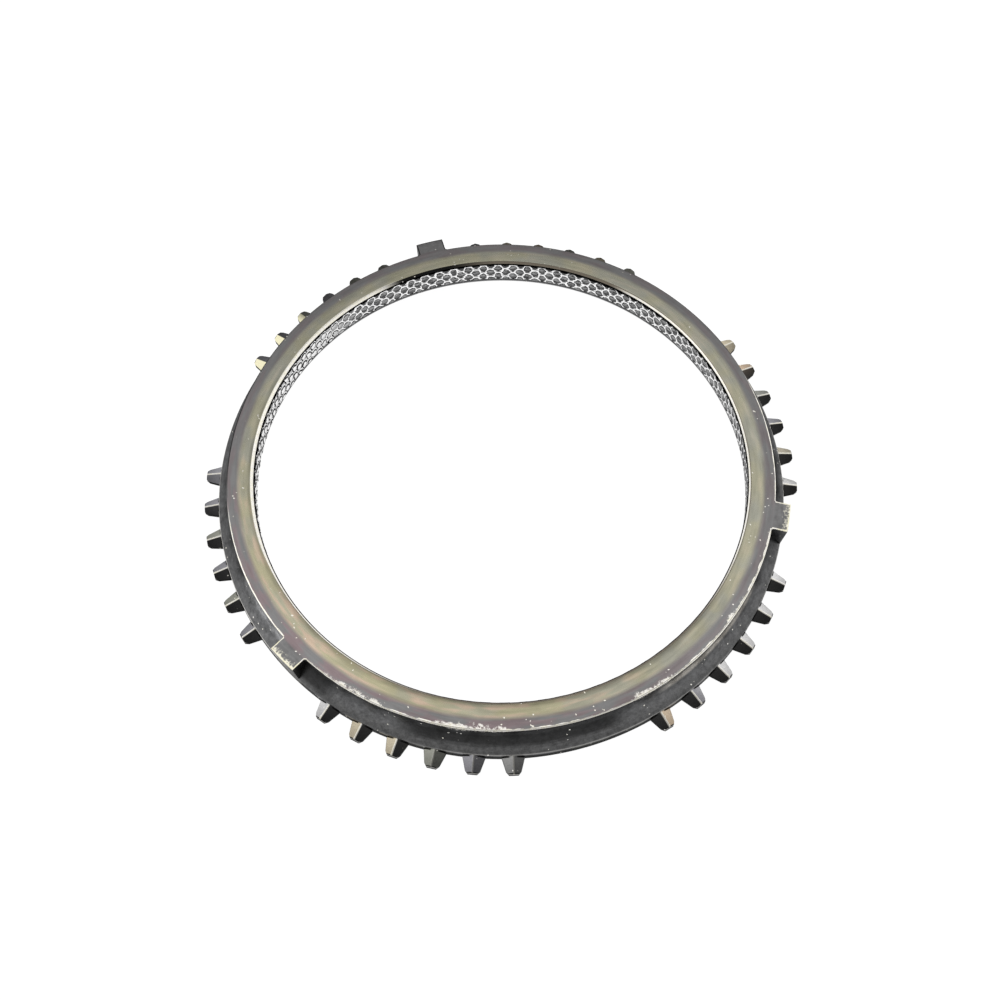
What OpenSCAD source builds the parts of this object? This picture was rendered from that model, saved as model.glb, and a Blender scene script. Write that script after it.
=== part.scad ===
// Synchronizer blocker ring: a steel ring with locking teeth and three lugs,
// lined in its tapered bore with a woven friction strip. It lies flat on its gear-side face.

/* [Ring body] */
// Height from the gear-side face to the top face
ring_height = 8.6; // [7:0.1:12]
// Radius of the tapered bore, measured at the level of the top face
bore_r = 52.9; // [45:0.1:60]
// Slope of the tapered bore away from the axis, in degrees
cone_angle = 8; // [6:0.5:11]
// Radial width of the top face, bore to outer edge
top_width = 5.6; // [4.5:0.1:7]
// How far the flange stands out past the top face
flange_reach = 3.3; // [2.5:0.1:5]
// Height of the flange's outer face
flange_height = 2.2; // [1.6:0.1:3.2]
// Extra radius of the flange and tooth ends at their foot
foot_flare = 0.25; // [0.1:0.05:0.4]
// Width of the inner band of the top face, which dips towards the bore
dish_width = 2.4; // [1.6:0.1:3]
// How far the inner band dips at the bore
dish_drop = 0.12; // [0.05:0.01:0.25]
// Radial width of the chamfer at the mouth of the bore
mouth_chamfer_w = 0.4; // [0.2:0.05:0.8]
// Depth of the chamfer at the mouth of the bore
mouth_chamfer_d = 0.6; // [0.3:0.05:0.7]
// Chamfer where the bore meets the gear-side face
foot_chamfer = 0.4; // [0.2:0.05:0.8]
// Break on the outer edge of the top face and of the lugs
edge_break = 0.2; // [0.1:0.05:0.4]

/* [Locking teeth] */
// Tooth places in a full circle
tooth_places = 51; // [45:3:57]
// Teeth on each side of a lug
teeth_per_side = 6; // [4:1:6]
// How far a tooth stands out past the flange
tooth_length = 3.2; // [2.4:0.1:4]
// Width of a tooth at the flange
root_width = 4.6; // [4:0.1:5.2]
// Width of a tooth at its tip
tip_width = 2.75; // [2.2:0.05:3.4]
// Cut on each corner of the tip
tip_corner = 0.45; // [0.2:0.05:0.7]
// Slope of the two roof faces, in degrees
roof_angle = 27; // [20:0.5:30]
// How far the ridge falls from the flange to the tip
ridge_drop = 0.47; // [0.2:0.01:0.6]

/* [Lugs] */
// Width of a lug between its parallel sides
lug_width = 6.4; // [5:0.1:8]
// How far a lug stands out past the top face
lug_reach = 3.2; // [2.4:0.1:4]
// Tooth places that a lug takes up
lug_places = 2; // [2:1:3]
// Radius in the corners where a lug leaves the ring
lug_fillet = 0.4; // [0.3:0.1:1.2]

/* [Friction lining] */
// Distance of the lining's upper edge below the top face
lining_inset = 1; // [0.8:0.1:1.4]
// Height of the lining, measured along the axis
lining_height = 6; // [4.5:0.1:6.4]
// Depth of the seat that is turned into the bore for the lining
lining_seat = 0.2; // [0.1:0.05:0.3]
// Thickness of the lining at the crowns of its weave
lining_thickness = 0.6; // [0.45:0.05:0.8]
// Film of adhesive between the lining and its seat
bond_film = 0.02; // [0.01:0.01:0.05]
// Rows of weave crowns across the lining
weave_rows = 3; // [2:1:4]
// Weave crowns in each row, around the bore
weave_crowns = 93; // [60:1:110]
// Height of the crowns over the hollows between them
weave_depth = 0.2; // [0.1:0.02:0.26]
// Length of a crown around the bore
crown_length = 1.6; // [1.2:0.1:1.7]
// Gap between two crowns that stand one above the other, measured along the axis
crown_gap = 1; // [0.7:0.1:1.4]

/* [Hidden] */
$fn = 180;

top_r = bore_r + top_width;
flange_r = top_r + flange_reach;
tip_r = flange_r + tooth_length;
pitch = 360 / tooth_places;
first_tooth = (lug_places + 1) / 2;
lug_count = 3;
lug_r = top_r + lug_reach;

// The cove is an arc that leaves the top edge upright and ends on the flange's edge
cove_top = ring_height - edge_break;
cove_fall = cove_top - flange_height;
cove_r = (flange_reach * flange_reach + cove_fall * cove_fall) / (2 * flange_reach);

// Radius of the tapered bore at height z
function bore_at(z) = bore_r + (ring_height - z) * tan(cone_angle);

// Radius of the lining's seat at height z
function seat_at(z) = bore_at(z) + lining_seat / cos(cone_angle);

// Radius of the lining at height z, at a given depth below the face of its crowns
function lining_at(z, depth) = seat_at(z) - (bond_film + lining_thickness - depth) / cos(cone_angle);

mouth_z = ring_height - dish_drop;
mouth_r = bore_at(mouth_z - mouth_chamfer_d);
dish_r = mouth_r + mouth_chamfer_w + dish_width;

lining_top = ring_height - lining_inset;
lining_foot = lining_top - lining_height;
seat_top = lining_top + bond_film;
seat_foot = lining_foot - bond_film;
row_pitch = lining_height / (weave_rows + 0.75);
crown_height = 2 * row_pitch - crown_gap;
crown_pitch = 360 / weave_crowns;
crown_arc = crown_length / bore_r * 180 / PI;

// Reach of a cutting shape past the surface that it cuts
overcut = 1;
// How far a joined shape is sunk into what carries it
sink = 0.05;
// Height and radius inside the ring at which the lugs and their fillets start
lug_foot = flange_height / 2;
lug_root_r = (dish_r + top_r) / 2;
// Straight steps that make up a lug's fillet
fillet_steps = 5;

// Section of the ring without teeth and lugs: both edges of the cove run on into the circle that cuts it
module ring_section() {
    cut_in = flange_reach / 2;
    difference() {
        polygon([
            [flange_r + foot_flare, 0],
            [bore_at(0) + foot_chamfer, 0],
            [bore_at(foot_chamfer), foot_chamfer],
            [bore_at(seat_foot), seat_foot],
            [seat_at(seat_foot), seat_foot],
            [seat_at(seat_top), seat_top],
            [bore_at(seat_top), seat_top],
            [mouth_r, mouth_z - mouth_chamfer_d],
            [mouth_r + mouth_chamfer_w, mouth_z],
            [dish_r, ring_height],
            [top_r - edge_break, ring_height],
            [top_r + cut_in, cove_top - cut_in],
            [flange_r - foot_flare, 2 * flange_height]
        ]);
        translate([top_r + cove_r, cove_top])
            circle(r = cove_r);
    }
}

// Outline of a lug seen from the side, from inside the ring to its outer face
module lug_section() {
    polygon([
        [lug_root_r, lug_foot],
        [lug_r, lug_foot],
        [lug_r, ring_height - edge_break],
        [lug_r - edge_break, ring_height],
        [lug_root_r, ring_height]
    ]);
}

// Plan of the lug on +X: parallel sides that flare through a fillet into the wall of the ring
module lug_plan() {
    centre_r = top_r + lug_fillet - sink;
    centre_y = lug_width / 2 + lug_fillet;
    centre_x = sqrt(pow(centre_r, 2) - pow(centre_y, 2));
    turn_start = 180 + asin(centre_y / centre_r);
    half = concat(
        [
            for (step = [0 : fillet_steps])
                let (turn = turn_start + (270 - turn_start) * step / fillet_steps)
                [centre_x + lug_fillet * cos(turn), centre_y + lug_fillet * sin(turn)]
        ],
        [[lug_r + overcut, lug_width / 2]]
    );
    polygon(concat(
        [[lug_root_r, -half[0].y], [lug_root_r, half[0].y]],
        half,
        [for (index = [len(half) - 1 : -1 : 0]) [half[index].x, -half[index].y]]
    ));
}

// The lug on +X
module lug() {
    intersection() {
        rotate_extrude()
            lug_section();
        linear_extrude(height = ring_height + overcut)
            lug_plan();
    }
}

// The tooth on +X: its plan, its roof and its side outline have only the tooth in common
module tooth() {
    root_r = top_r;
    half_root = root_width / 2;
    half_tip = tip_width / 2;
    taper = (half_root - half_tip) / tooth_length;
    end_r = tip_r + foot_flare;
    ridge_tilt = atan(ridge_drop / tooth_length);
    roof_half = root_width;
    intersection() {
        linear_extrude(height = flange_height + overcut)
            polygon([
                [root_r, half_root + taper * (flange_r - root_r)],
                [root_r, -half_root - taper * (flange_r - root_r)],
                [tip_r - tip_corner, -half_tip - taper * tip_corner],
                [end_r, -half_tip + tip_corner],
                [end_r, half_tip - tip_corner],
                [tip_r - tip_corner, half_tip + taper * tip_corner]
            ]);
        translate([flange_r, 0, flange_height])
            rotate([0, ridge_tilt, 0])
                rotate([90, 0, 90])
                    linear_extrude(height = 4 * tooth_length, center = true)
                        polygon([
                            [-roof_half, -2 * flange_height],
                            [roof_half, -2 * flange_height],
                            [roof_half, -roof_half * tan(roof_angle)],
                            [0, 0],
                            [-roof_half, -roof_half * tan(roof_angle)]
                        ]);
        rotate([90, 0, 0])
            linear_extrude(height = 2 * root_width, center = true)
                polygon([
                    [root_r, 0],
                    [end_r, 0],
                    [tip_r, flange_height - ridge_drop],
                    [tip_r, flange_height + overcut],
                    [root_r, flange_height + overcut]
                ]);
    }
}

// Steel ring with its lugs and teeth, forged in one piece
module ring_body() {
    color("dimgray") {
        rotate_extrude()
            ring_section();
        for (index = [0 : lug_count - 1])
            rotate(90 + index * 360 / lug_count) {
                lug();
                for (side = [-1, 1], place = [0 : teeth_per_side - 1])
                    rotate(side * (first_tooth + place) * pitch)
                        tooth();
            }
    }
}

// Section of the lining: a strip along its seat, as thick as the weave is in its hollows
module lining_section() {
    polygon([
        [lining_at(lining_top, lining_thickness), lining_top],
        [lining_at(lining_foot, lining_thickness), lining_foot],
        [lining_at(lining_foot, weave_depth), lining_foot],
        [lining_at(lining_top, weave_depth), lining_top]
    ]);
}

// Section of one crown of the weave, sunk into the strip
module crown_section(row) {
    middle = lining_foot + lining_height / 2 + (row - (weave_rows - 1) / 2) * row_pitch;
    low = middle - crown_height / 2;
    high = middle + crown_height / 2;
    polygon([
        [lining_at(high, weave_depth + sink), high],
        [lining_at(low, weave_depth + sink), low],
        [lining_at(low, 0), low],
        [lining_at(high, 0), high]
    ]);
}

// Woven strip bonded into its seat in the bore: the crowns of each row stand between those of the next
module friction_lining() {
    color("gray") {
        rotate_extrude()
            lining_section();
        for (row = [0 : weave_rows - 1], index = [0 : weave_crowns - 1])
            rotate((index + (row % 2) / 2) * crown_pitch)
                rotate_extrude(angle = crown_arc)
                    crown_section(row);
    }
}

ring_body();
friction_lining();
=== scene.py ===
"""Looks of the synchronizer ring: a worn steel body, a woven lining, and the studio around them."""
import logging
import math
from dataclasses import dataclass
from enum import Enum

import bmesh
import bpy
from mathutils import Euler, Matrix, Vector


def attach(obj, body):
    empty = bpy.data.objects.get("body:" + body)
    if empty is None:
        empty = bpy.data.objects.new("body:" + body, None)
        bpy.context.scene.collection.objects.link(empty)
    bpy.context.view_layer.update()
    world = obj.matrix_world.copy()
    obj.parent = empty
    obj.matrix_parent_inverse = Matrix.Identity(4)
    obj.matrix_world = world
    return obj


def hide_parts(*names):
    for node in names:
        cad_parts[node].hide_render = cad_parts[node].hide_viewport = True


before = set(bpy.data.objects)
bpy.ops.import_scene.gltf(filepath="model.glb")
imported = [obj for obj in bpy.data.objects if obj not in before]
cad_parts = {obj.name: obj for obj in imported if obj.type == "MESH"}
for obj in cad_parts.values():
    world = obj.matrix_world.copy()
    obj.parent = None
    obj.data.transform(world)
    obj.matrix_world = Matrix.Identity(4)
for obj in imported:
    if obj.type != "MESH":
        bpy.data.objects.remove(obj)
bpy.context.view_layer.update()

log = logging.getLogger("synchronizer_ring")
MM = 0.001
TURN = 2 * math.pi
# Gaps in millimetres that count as none: in a cut, between points that merge, and from a line or circle
CUT_GAP = 1e-5
MERGE_GAP = 1e-4
LINE_GAP = 1e-3
Colour = tuple[float, float, float]
Point = tuple[float, float, float]
Span = tuple[float, float]
Socket = bpy.types.NodeSocket
Shape = bmesh.types.BMesh


class Value:
    """A number that varies over a surface. Operators on it add Math nodes."""

    def __init__(self, shader: "Shader", socket: Socket) -> None:
        """Wraps a socket of a shader's tree."""
        self.shader = shader
        self.socket = socket

    def __add__(self, other: "Number") -> "Value":
        """self + other"""
        return self.shader.math("ADD", self, other)

    __radd__ = __add__

    def __sub__(self, other: "Number") -> "Value":
        """self - other"""
        return self.shader.math("SUBTRACT", self, other)

    def __rsub__(self, other: "Number") -> "Value":
        """other - self"""
        return self.shader.math("SUBTRACT", other, self)

    def __mul__(self, other: "Number") -> "Value":
        """self * other"""
        return self.shader.math("MULTIPLY", self, other)

    __rmul__ = __mul__

    def __truediv__(self, other: "Number") -> "Value":
        """self / other"""
        return self.shader.math("DIVIDE", self, other)

    def __pow__(self, other: "Number") -> "Value":
        """self ** other"""
        return self.shader.math("POWER", self, other)

    def __abs__(self) -> "Value":
        """abs(self)"""
        return self.shader.math("ABSOLUTE", self)

    def least(self, other: "Number") -> "Value":
        """The lesser of the two."""
        return self.shader.math("MINIMUM", self, other)

    def most(self, other: "Number") -> "Value":
        """The greater of the two."""
        return self.shader.math("MAXIMUM", self, other)

    def fraction(self) -> "Value":
        """The part after the point."""
        return self.shader.math("FRACT", self)

    def whole(self) -> "Value":
        """The whole number at or below."""
        return self.shader.math("FLOOR", self)

    def rise(self, low: "Number", high: "Number") -> "Value":
        """Goes smoothly from 0 at low to 1 at high.

        Args:
            low: where the result is 0.
            high: where the result is 1, which may be below low.

        Returns:
            A value from 0 to 1.
        """
        ends = {"Value": self, "From Min": low, "From Max": high}
        node = self.shader.node("ShaderNodeMapRange", {"interpolation_type": "SMOOTHSTEP"}, ends)
        return Value(self.shader, node.outputs["Result"])


Number = Value | float


class Shader:
    """Adds nodes to the tree of a material or of the world."""

    def __init__(self, tree: bpy.types.NodeTree) -> None:
        """Starts from an empty tree."""
        self.tree = tree
        tree.nodes.clear()

    def node(
        self, kind: str, settings: dict | None = None, inputs: dict | None = None
    ) -> bpy.types.Node:
        """Adds one node.

        Args:
            kind: the node's type.
            settings: its properties, set first.
            inputs: a value, Value or socket for each input, by name or number.

        Returns:
            The node.
        """
        node = self.tree.nodes.new(kind)
        for name, setting in (settings or {}).items():
            setattr(node, name, setting)
        for name, value in (inputs or {}).items():
            socket = node.inputs[name]
            if isinstance(value, Value):
                self.tree.links.new(value.socket, socket)
            elif isinstance(value, Socket):
                self.tree.links.new(value, socket)
            elif isinstance(value, tuple) and socket.type == "RGBA":
                socket.default_value = (*value, 1.0)
            else:
                socket.default_value = value
        return node

    def math(self, operation: str, *terms: Number) -> Value:
        """Adds a Math node.

        Args:
            operation: what it does.
            terms: its inputs in order.

        Returns:
            Its result.
        """
        node = self.node("ShaderNodeMath", {"operation": operation}, dict(enumerate(terms)))
        return Value(self, node.outputs[0])

    def mix(
        self, factor: Number, first: object, second: object, blend: str = "MIX"
    ) -> Socket:
        """Mixes two colours.

        Args:
            factor: 0 for the first, 1 for the second.
            first: a colour or a colour socket.
            second: a colour or a colour socket.
            blend: how the second goes over the first.

        Returns:
            The socket of the mixed colour.
        """
        settings = {"data_type": "RGBA", "blend_type": blend, "clamp_factor": True}
        return self.node("ShaderNodeMix", settings, {0: factor, 6: first, 7: second}).outputs[2]

    def toned(self, colour: object, tone: Value) -> Socket:
        """A colour made lighter or darker by a tone."""
        return self.mix(1.0, colour, self.vector(tone, tone, tone), "MULTIPLY")

    def metal(self, colour: object, roughness: Value, edge_tint: Colour, relief: dict) -> None:
        """Ends the tree in a metal surface.

        Args:
            colour: the socket of its colour.
            roughness: how dull it is.
            edge_tint: its tint where it is seen at a low angle.
            relief: inputs of the bump that gives it a fine relief.
        """
        bump = self.node("ShaderNodeBump", None, relief)
        surface = self.node("ShaderNodeBsdfPrincipled", None, {
            "Base Color": colour, "Metallic": 1.0, "Roughness": roughness, "Normal": bump.outputs[0],
            "Specular Tint": edge_tint,
        })
        self.node("ShaderNodeOutputMaterial", None, {"Surface": surface.outputs[0]})

    def vector(self, x: Number, y: Number, z: Number) -> Socket:
        """A vector of three values."""
        return self.node("ShaderNodeCombineXYZ", None, {"X": x, "Y": y, "Z": z}).outputs[0]

    def noise(
        self, place: Socket, scale: float, detail: float = 2.0, rough: float = 0.5
    ) -> Value:
        """Soft noise around 0.5.

        Args:
            place: where it is read.
            scale: how many lumps there are in a unit of place.
            detail: how many finer layers are added.
            rough: how strong those are.

        Returns:
            The noise.
        """
        inputs = {"Vector": place, "Scale": scale, "Detail": detail, "Roughness": rough}
        return Value(self, self.node("ShaderNodeTexNoise", None, inputs).outputs["Fac"])

    def axes(self, place: Socket) -> tuple[Value, Value, Value]:
        """The three parts of a vector."""
        split = self.node("ShaderNodeSeparateXYZ", None, {"Vector": place})
        x, y, z = (Value(self, part) for part in split.outputs)
        return x, y, z


def new_material(name: str) -> tuple[bpy.types.Material, Shader]:
    """A material with an empty node tree.

    Args:
        name: the material's name.

    Returns:
        The material and the shader that fills it.
    """
    material = bpy.data.materials.new(name)
    material.use_nodes = True
    return material, Shader(material.node_tree)


@dataclass(frozen=True)
class RingSizes:
    """Sizes of the ring in millimetres, as its solids have them."""

    height: float = 8.6
    bore_r: float = 52.9
    cone: float = math.radians(8.0)
    top_width: float = 5.6
    flange_reach: float = 3.3
    flange_height: float = 2.2
    foot_flare: float = 0.25
    dish_width: float = 2.4
    dish_drop: float = 0.12
    mouth_w: float = 0.4
    mouth_d: float = 0.6
    foot_chamfer: float = 0.4
    edge_break: float = 0.2
    tooth_places: int = 51
    teeth_per_side: int = 6
    tooth_length: float = 3.2
    root_width: float = 4.6
    tip_width: float = 2.75
    tip_corner: float = 0.45
    roof: float = math.radians(27.0)
    ridge_drop: float = 0.47
    lug_count: int = 3
    lug_width: float = 6.4
    lug_reach: float = 3.2
    lug_places: int = 2
    lug_fillet: float = 0.4
    lining_inset: float = 1.0
    lining_height: float = 6.0
    lining_seat: float = 0.2
    bond_film: float = 0.02

    @property
    def top_r(self) -> float:
        """Outer radius of the top face."""
        return self.bore_r + self.top_width

    @property
    def flange_r(self) -> float:
        """Radius of the flange's upper edge."""
        return self.top_r + self.flange_reach

    @property
    def tip_r(self) -> float:
        """Radius of the tooth tips."""
        return self.flange_r + self.tooth_length

    @property
    def lug_r(self) -> float:
        """Radius of the lugs' outer faces."""
        return self.top_r + self.lug_reach

    @property
    def pitch(self) -> float:
        """Angle from one tooth place to the next."""
        return TURN / self.tooth_places

    @property
    def mouth_z(self) -> float:
        """Height at which the dished band meets the chamfer of the bore."""
        return self.height - self.dish_drop

    @property
    def mouth_foot(self) -> float:
        """Height of that chamfer's foot."""
        return self.mouth_z - self.mouth_d

    @property
    def mouth_r(self) -> float:
        """Radius of the bore at that chamfer's foot."""
        return self.bore_at(self.mouth_foot)

    @property
    def mouth_rim(self) -> float:
        """Radius of that chamfer's upper edge."""
        return self.mouth_r + self.mouth_w

    @property
    def dish_r(self) -> float:
        """Outer radius of the dished band."""
        return self.mouth_rim + self.dish_width

    @property
    def half_lug(self) -> float:
        """Half the width of a lug."""
        return self.lug_width / 2

    @property
    def lining_top(self) -> float:
        """Height of the lining's upper edge."""
        return self.height - self.lining_inset

    @property
    def lining_foot(self) -> float:
        """Height of the lining's lower edge."""
        return self.lining_top - self.lining_height

    def bore_at(self, z: float) -> float:
        """Radius of the tapered bore at height z."""
        return self.bore_r + (self.height - z) * math.tan(self.cone)

    def seat_at(self, z: float) -> float:
        """Radius of the lining's seat at height z."""
        return self.bore_at(z) + self.lining_seat / math.cos(self.cone)


SIZES = RingSizes()


class Edge(Enum):
    """How far an edge of the steel is rounded, in millimetres."""

    WORN = 0.12
    RIDGE = 0.14
    TOOTH = 0.09
    FOOT = 0.1


ROUNDING_FACES = 2


def slice_off(mesh: Shape, point: Point, normal: Point) -> None:
    """Cuts away what lies beyond a plane and closes the cut.

    Args:
        mesh: the closed shape to cut.
        point: a point of the plane.
        normal: the side that goes.
    """
    parts = mesh.verts[:] + mesh.edges[:] + mesh.faces[:]
    cut = bmesh.ops.bisect_plane(
        mesh, geom=parts, dist=CUT_GAP, plane_co=point, plane_no=normal, clear_outer=True
    )
    rim = [item for item in cut["geom_cut"] if isinstance(item, bmesh.types.BMEdge)]
    bmesh.ops.holes_fill(mesh, edges=rim, sides=0)


def round_edges(mesh: Shape, edges: list[bmesh.types.BMEdge], kind: Edge) -> None:
    """Rounds edges of a shape.

    Args:
        mesh: the shape.
        edges: the edges to round.
        kind: how far.
    """
    bmesh.ops.bevel(
        mesh, geom=edges, offset=kind.value, offset_type="OFFSET", segments=ROUNDING_FACES,
        profile=0.5, affect="EDGES", material=-1, clamp_overlap=True,
    )


def turn_round(mesh: Shape, steps: int) -> None:
    """Turns a section once round the axis.

    Args:
        mesh: the section, which becomes the turned shape.
        steps: faces around the axis.
    """
    bmesh.ops.spin(
        mesh, geom=mesh.verts[:] + mesh.edges[:], cent=(0, 0, 0), axis=(0, 0, 1),
        angle=TURN, steps=steps, use_merge=True,
    )
    bmesh.ops.remove_doubles(mesh, verts=mesh.verts, dist=MERGE_GAP)
    bmesh.ops.recalc_face_normals(mesh, faces=mesh.faces)


def to_object(mesh: Shape, name: str) -> bpy.types.Object:
    """Makes a scene object of a bmesh and frees it.

    Args:
        mesh: the shape.
        name: the object's name.

    Returns:
        The object.
    """
    data = bpy.data.meshes.new(name)
    mesh.to_mesh(data)
    mesh.free()
    piece = bpy.data.objects.new(name, data)
    bpy.context.scene.collection.objects.link(piece)
    return piece


def seat_piece(piece: bpy.types.Object, node: str, material: bpy.types.Material) -> None:
    """Puts a finished piece in the place of its solid.

    Args:
        piece: the piece.
        node: the solid that it stands for.
        material: its finish.
    """
    piece.data.materials.clear()
    piece.data.materials.append(material)
    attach(piece, "root")
    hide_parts(node)
    log.info("%s: %d faces", piece.name, len(piece.data.polygons))


class RingPlace:
    """Where a point of the ring lies, in millimetres, and the draw that falls to its tooth."""

    # A sine of great steps, of which only the far digits are kept, is as good as a draw
    draw_step = 12.99
    draw_digits = 437.6

    def __init__(self, sh: Shader) -> None:
        """Reads the object's own coordinates.

        Args:
            sh: the shader that uses them.
        """
        place = sh.node("ShaderNodeTexCoord").outputs["Object"]
        self.x, self.y, self.z = (part * (1 / MM) for part in sh.axes(place))
        self.mm = sh.vector(self.x, self.y, self.z)
        self.radius = (self.x * self.x + self.y * self.y) ** 0.5
        self.east, self.north = self.x / self.radius, self.y / self.radius
        turn = sh.math("ARCTAN2", self.y, self.x) / TURN - 0.25
        lug_turn = (turn * SIZES.lug_count + 0.5).fraction() - 0.5
        self.lug_across = abs(self.radius * sh.math("SINE", lug_turn * (TURN / SIZES.lug_count)))
        tooth_turn = turn * SIZES.tooth_places
        lean = (tooth_turn.fraction() - 0.5) * SIZES.pitch
        self.tooth_out = self.radius * sh.math("COSINE", lean)
        self.tooth_side = self.radius * sh.math("SINE", lean)
        draw = sh.math("SINE", tooth_turn.whole() * self.draw_step)
        self.tooth_lot = (draw * self.draw_digits).fraction()

    def along(
        self, sh: Shader, turns: float, per_mm: float, across: Value, detail: float = 2.0
    ) -> Value:
        """Noise drawn out along the circle, as brushing and turning leave it.

        Args:
            sh: the shader.
            turns: how many lumps there are around a radian.
            per_mm: how many there are across a millimetre.
            across: what is measured across the circle.
            detail: how many finer layers are added.

        Returns:
            The noise.
        """
        place = sh.vector(self.east * turns, self.north * turns, across * per_mm)
        return sh.noise(place, 1.0, detail)


class SteelNoise:
    """Noises that the parts of the steel finish share."""

    def __init__(self, sh: Shader, at: RingPlace) -> None:
        """Adds their nodes.

        Args:
            sh: the shader.
            at: the place.
        """
        self.clouds = sh.noise(at.mm, 0.16, 2.0)
        self.blotch = sh.noise(at.mm, 0.9, 3.0, 0.6)
        self.grain = sh.noise(at.mm, 3.4, 3.0, 0.65)
        self.chips = sh.noise(at.mm, 1.5, 4.0, 0.72).rise(0.34, 0.66)
        self.brushed = at.along(sh, 7.0, 1.5, at.radius)
        self.streaks = at.along(sh, 26.0, 0.7, at.radius, 4.0).rise(0.36, 0.64)


@dataclass(frozen=True)
class Stretch:
    """A stretch of the ring on both sides of an angle."""

    angle: float
    spread: float
    size: float = 1.0

    def at(self, where: RingPlace) -> Value:
        """Its size at the angle, falling to 0 at the spread, both in degrees."""
        heading = math.radians(self.angle)
        facing = where.east * math.cos(heading) + where.north * math.sin(heading)
        return facing.rise(math.cos(math.radians(self.spread)), 1.0) * self.size


def within(stretches: tuple[Stretch, Stretch], where: RingPlace, low: float, high: float) -> Value:
    """Tells if a place lies in either of two stretches.

    Args:
        stretches: the two.
        where: the place.
        low: the size at which the result is 0.
        high: the size at which it is 1.

    Returns:
        1 well inside one of them, 0 outside both.
    """
    first, second = (stretch.at(where).rise(low, high) for stretch in stretches)
    return first.most(second)


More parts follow.
